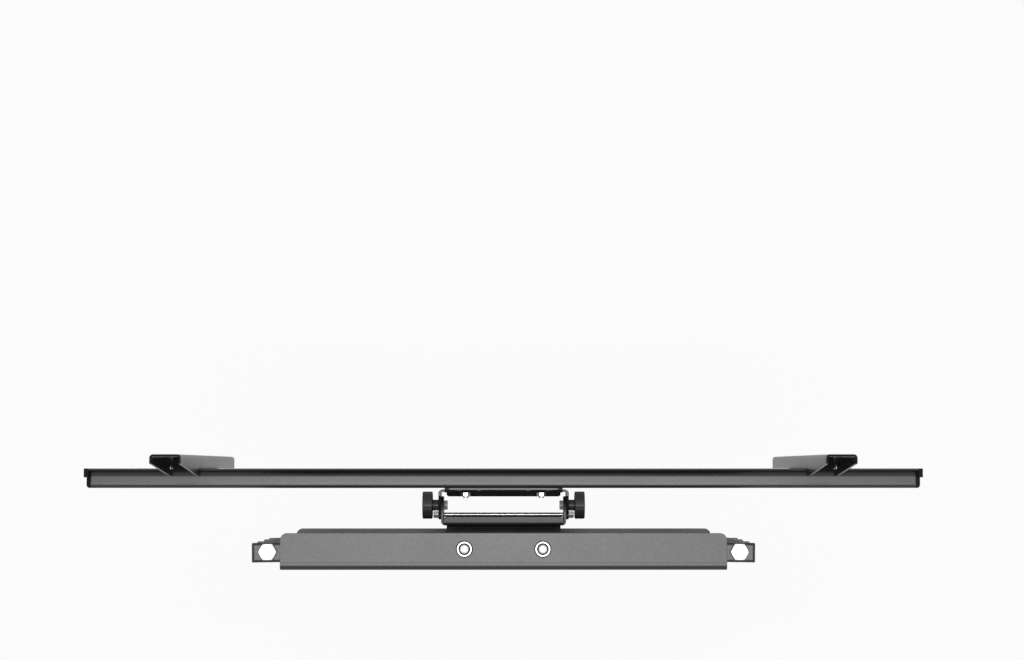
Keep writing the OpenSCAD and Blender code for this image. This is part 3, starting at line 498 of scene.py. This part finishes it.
# Black washers between the yoke's ears and the axle nuts
axle_y = middle("axle_nuts")[1]
ring.make("axle_washers", "head", "black_plastic",
          [(s * (yoke_high[0] + SEAM), axle_y, 0, (0, s * math.pi / 2, 0)) for s in (1, -1)],
          Inner_Radius=2.25 * MM, Outer_Radius=4.9 * MM, Height=0.28 * MM, Softness=0.08 * MM)

# Threads of the yoke bolts, behind their nuts
thread_gap = 0.2 * MM  # a thread starts and stops this far from a face
nut_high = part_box("yoke_nuts")[1]
nut_half_af = 4.0 * MM
nut_x = nut_high[0] - nut_half_af / math.cos(math.radians(30))
nut_z = nut_high[2] - nut_half_af
thread.make("yoke_bolt_threads", "screen_frame", "bright_zinc",
            [(x, nut_high[1] + thread_gap, z, (-math.pi / 2, 0, 0))
             for x in (-nut_x, nut_x) for z in (-nut_z, nut_z)],
            Radius=2.4 * MM, Pitch=0.8 * MM, Ridge=0.3 * MM,
            Length=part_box("yoke_bolts")[1][1] - nut_high[1] - 2 * thread_gap)

# Inserts and threads of the elbow nuts, and the weld beads of the elbow lugs
lug_z = head_washers[1][2] - washer_t - head_t
for side, s in SIDES:
    arm = "rear_arm_" + side
    x, y = middle("elbow_nut_" + side)[:2]
    nut_face_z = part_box("elbow_nut_" + side)[0][2]
    tail_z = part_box("elbow_bolt_" + side)[0][2]
    ring.make("elbow_nut_insert_" + side, arm, "black_plastic",
              [(x, y, nut_face_z + SEAM, UNDER)], Inner_Radius=5.25 * MM,
              Outer_Radius=6.4 * MM, Height=0.3 * MM, Softness=0.1 * MM)
    thread.make("elbow_bolt_thread_" + side, arm, "bright_zinc", [(x, y, tail_z + thread_gap)],
                Radius=4.9 * MM, Pitch=0.75 * MM, Ridge=0.32 * MM,
                Length=nut_face_z - tail_z - 2 * thread_gap)
    along = Vector((x - s * pivot_x, y - wall_y, 0)).normalized()
    to_wall = Vector((-s * along.y, s * along.x, 0))
    start = Vector((x, y, 0)) - along * (24.0 * MM) + to_wall * (8.5 * MM)
    turn = (0, 0, math.atan2(along.y, along.x))
    bead_z = lug_z + 0.3 * MM
    weld.make("lug_welds_" + side, arm, "powder_coat",
              [(start.x, start.y, z, turn) for z in (bead_z, -bead_z)],
              Length=37.0 * MM, Step=1.1 * MM, Width=1.3 * MM, Seed=4 + s)

# Parting lines of the knobs' mould, over and under each knob: a real ridge, in a pale plastic that
# is a painted highlight
for side, s in SIDES:
    low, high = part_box("clamp_knob_" + side)
    centre_y, grip_r = (low[1] + high[1]) / 2, (high[2] - low[2]) / 2
    inner_x, outer_x = sorted((abs(low[0]), abs(high[0])))
    hub_r, grip_x, rim = 5.7 * MM, inner_x + 6.2 * MM, 1.2 * MM
    outline = [(inner_x + 0.3 * MM, hub_r), (grip_x, hub_r),
               *arc(grip_x + rim, grip_r - rim, rim, 180, 90, steps=3),
               *arc(outer_x - rim, grip_r - rim, rim, 90, 0, steps=3),
               (outer_x, 2.0 * MM)]
    count = len(outline)
    line.make("knob_parting_" + side, "knob_" + side, "worn_plastic",
              [(s * x, centre_y, way * z) for way in (1, -1) for x, z in outline],
              [(i, i + 1) for i in range(2 * count - 1) if i != count - 1], Radius=0.3 * MM)

# Black pads in the brackets over the upper rail's lip, as painted shade where the bracket shades
# the lip
rail_low, rail_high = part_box("rail_upper")
rivet_head, soft = 1.8 * MM, 0.4 * MM
for side, s in SIDES:
    low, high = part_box("bracket_" + side)
    near, far = sorted((abs(low[0]), abs(high[0])))
    x0, x1 = sorted((s * (near + bracket_t + 0.1 * MM), s * (far - bracket_t - rivet_head)))
    corners = ((x0, low[1] + bracket_t + 5 * SEAM, rail_high[2] + 0.2 * MM),
               (x1, rail_low[1] + 2.6 * MM, rail_high[2] + 2.4 * MM))
    pad = bmesh.new()
    bmesh.ops.create_cube(pad, size=1.0)
    for vert in pad.verts:
        vert.co = Vector([(a + b) / 2 + c * (b - a) for a, b, c in zip(*corners, vert.co)])
    bmesh.ops.bevel(pad, geom=pad.edges[:], offset=soft, segments=3, profile=0.5,
                    affect="EDGES")
    shell_piece("glide_pad_" + side, "bracket_" + side, "black_rubber", pad)


def yoke_shade_strip():
    """Black strip folded over the upper edge of the yoke's web, as painted shade on that edge."""
    thick, drop, soft, bend = 0.5 * MM, 2.5 * MM, 0.2 * MM, 6.5 * MM
    front, rear, top = yoke_low[1] + 2 * SEAM, yoke_low[1] + yoke_t, yoke_high[2]
    section = [(front, top + SEAM), (front, top + thick - soft), (front + soft, top + thick),
               (rear + thick - soft, top + thick), (rear + thick, top + thick - soft),
               (rear + thick, top - drop + soft), (rear + thick - soft, top - drop),
               (rear + SEAM, top - drop), (rear + SEAM, top + SEAM)]
    half_w = yoke_high[0] - bend
    ends = ((half_w, 0.4), (half_w - 0.3 * MM, 0.8), (half_w - 1.0 * MM, 1.0))
    stations = [(-x, grow) for x, grow in ends] + list(reversed(ends))
    return swept_shell([[(x, min(y, rear) + max(y - rear, 0.0) * grow,
                          min(z, top) + max(z - top, 0.0) * grow)
                         for y, z in section] for x, grow in stations])


def bracket_end_shade(low, high, depth, end_z, away):
    """Black rim on one end of a bracket, which follows its folded outline, as painted shade at the
    bracket's end.
    """
    bend, thick = 3.5 * MM, 0.4 * MM
    left, right, front = low[0], high[0], low[1]

    def outline(inset):
        return [(left + inset, front + depth),
                *arc(left + bend, front + bend, bend - inset, 180, 270, steps=6),
                *arc(right - bend, front + bend, bend - inset, 270, 360, steps=6),
                (right - inset, front + depth)]

    near, far = end_z + away * SEAM, end_z + away * thick
    return swept_shell([[(*outer, near), (*outer, far), (*inner, far), (*inner, near)]
                        for outer, inner in zip(outline(0.0), outline(bracket_t))])


# black strip of painted shade on the yoke's upper edge
shell_piece("yoke_shade_strip", "screen_frame", "black_rubber", yoke_shade_strip())
# black rims of painted shade at both ends of each bracket
for side, _ in SIDES:
    bracket = "bracket_" + side
    low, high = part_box(bracket)
    for end, depth, end_z, away in (("upper_", 9.0 * MM, high[2], 1),
                                    ("lower_", 13.2 * MM, low[2], -1)):
        shell_piece("bracket_trim_" + end + side, bracket, "black_rubber",
                    bracket_end_shade(low, high, depth, end_z, away))


# Floor, light and camera

def seen_directly(graph):
    """1 for rays that show the surroundings themselves, and 0 for their light."""
    rays = graph.node("ShaderNodeLightPath").outputs
    camera = Value(graph, rays["Is Camera Ray"])
    return (camera.math("MAXIMUM", rays["Is Glossy Ray"])
            .math("MAXIMUM", rays["Is Transmission Ray"]))


def pale_floor(height, half_size):
    mesh = bpy.data.meshes.new("floor")
    grid = bmesh.new()
    bmesh.ops.create_grid(grid, x_segments=1, y_segments=1, size=half_size)
    grid.to_mesh(mesh)
    grid.free()
    floor = new_object("floor", mesh)
    floor.location.z = height
    material = bpy.data.materials.new("floor_paint")
    material.use_nodes = True
    graph = Graph(material.node_tree)
    paint = graph.out("ShaderNodeBsdfDiffuse", None, {"Color": (0.85, 0.85, 0.85, 1.0)})
    white = graph.out("ShaderNodeEmission", None, {"Color": WHITE, "Strength": 1.0})
    mixed = graph.out("ShaderNodeMixShader", None,
                      {0: seen_directly(graph) * 0.9, 1: paint, 2: white})
    graph.node("ShaderNodeOutputMaterial", None, {"Surface": mixed})
    mesh.materials.append(material)


def white_world(level):
    """White where it is seen, and dimmer as light on the mount."""
    world = bpy.data.worlds.new("studio")
    world.use_nodes = True
    graph = Graph(world.node_tree)
    strength = seen_directly(graph).math("MULTIPLY_ADD", 1.0 - level, level)
    background = graph.out("ShaderNodeBackground", None, {"Color": WHITE, "Strength": strength})
    graph.node("ShaderNodeOutputWorld", None, {"Surface": background})
    bpy.context.scene.world = world


def softbox(name, place, aim, side, radiance):
    lamp = bpy.data.lights.new(name, "AREA")
    lamp.shape = "SQUARE"
    lamp.size = side
    lamp.energy = radiance * side * side * math.pi
    box = new_object(name, lamp)
    box.location = place
    box.rotation_mode = "QUATERNION"
    box.rotation_quaternion = (Vector(aim) - Vector(place)).to_track_quat("-Z", "Y")
    box.visible_camera = False


def overhead_camera():
    """Straight over the mount as in the photo, with the wall at the bottom of the picture."""
    focal_px, frame_px = 2204, 1024
    data = bpy.data.cameras.new("camera")
    data.sensor_width = 36.0
    data.lens = focal_px / frame_px * data.sensor_width
    data.clip_start, data.clip_end = 0.05, 60.0
    look = Vector((-0.0038, -0.0631, -1.0)).normalized()
    screen_side = Vector((0.0, -1.0, 0.0))
    across = look.cross(screen_side).normalized()
    turned = Matrix((across, across.cross(look), -look)).transposed()
    camera = new_object("camera", data)
    camera.location = (0.0, -0.1014, 2.317)
    camera.rotation_mode = "QUATERNION"
    camera.rotation_quaternion = turned.to_quaternion()
    bpy.context.scene.camera = camera


pale_floor(height=-0.75, half_size=30.0)
white_world(level=0.145)
softbox("overhead", place=(0, -0.1, 3.6), aim=(0, -0.1, 0), side=2.1, radiance=9.8)
overhead_camera()

bpy.context.scene.view_settings.view_transform = "Standard"
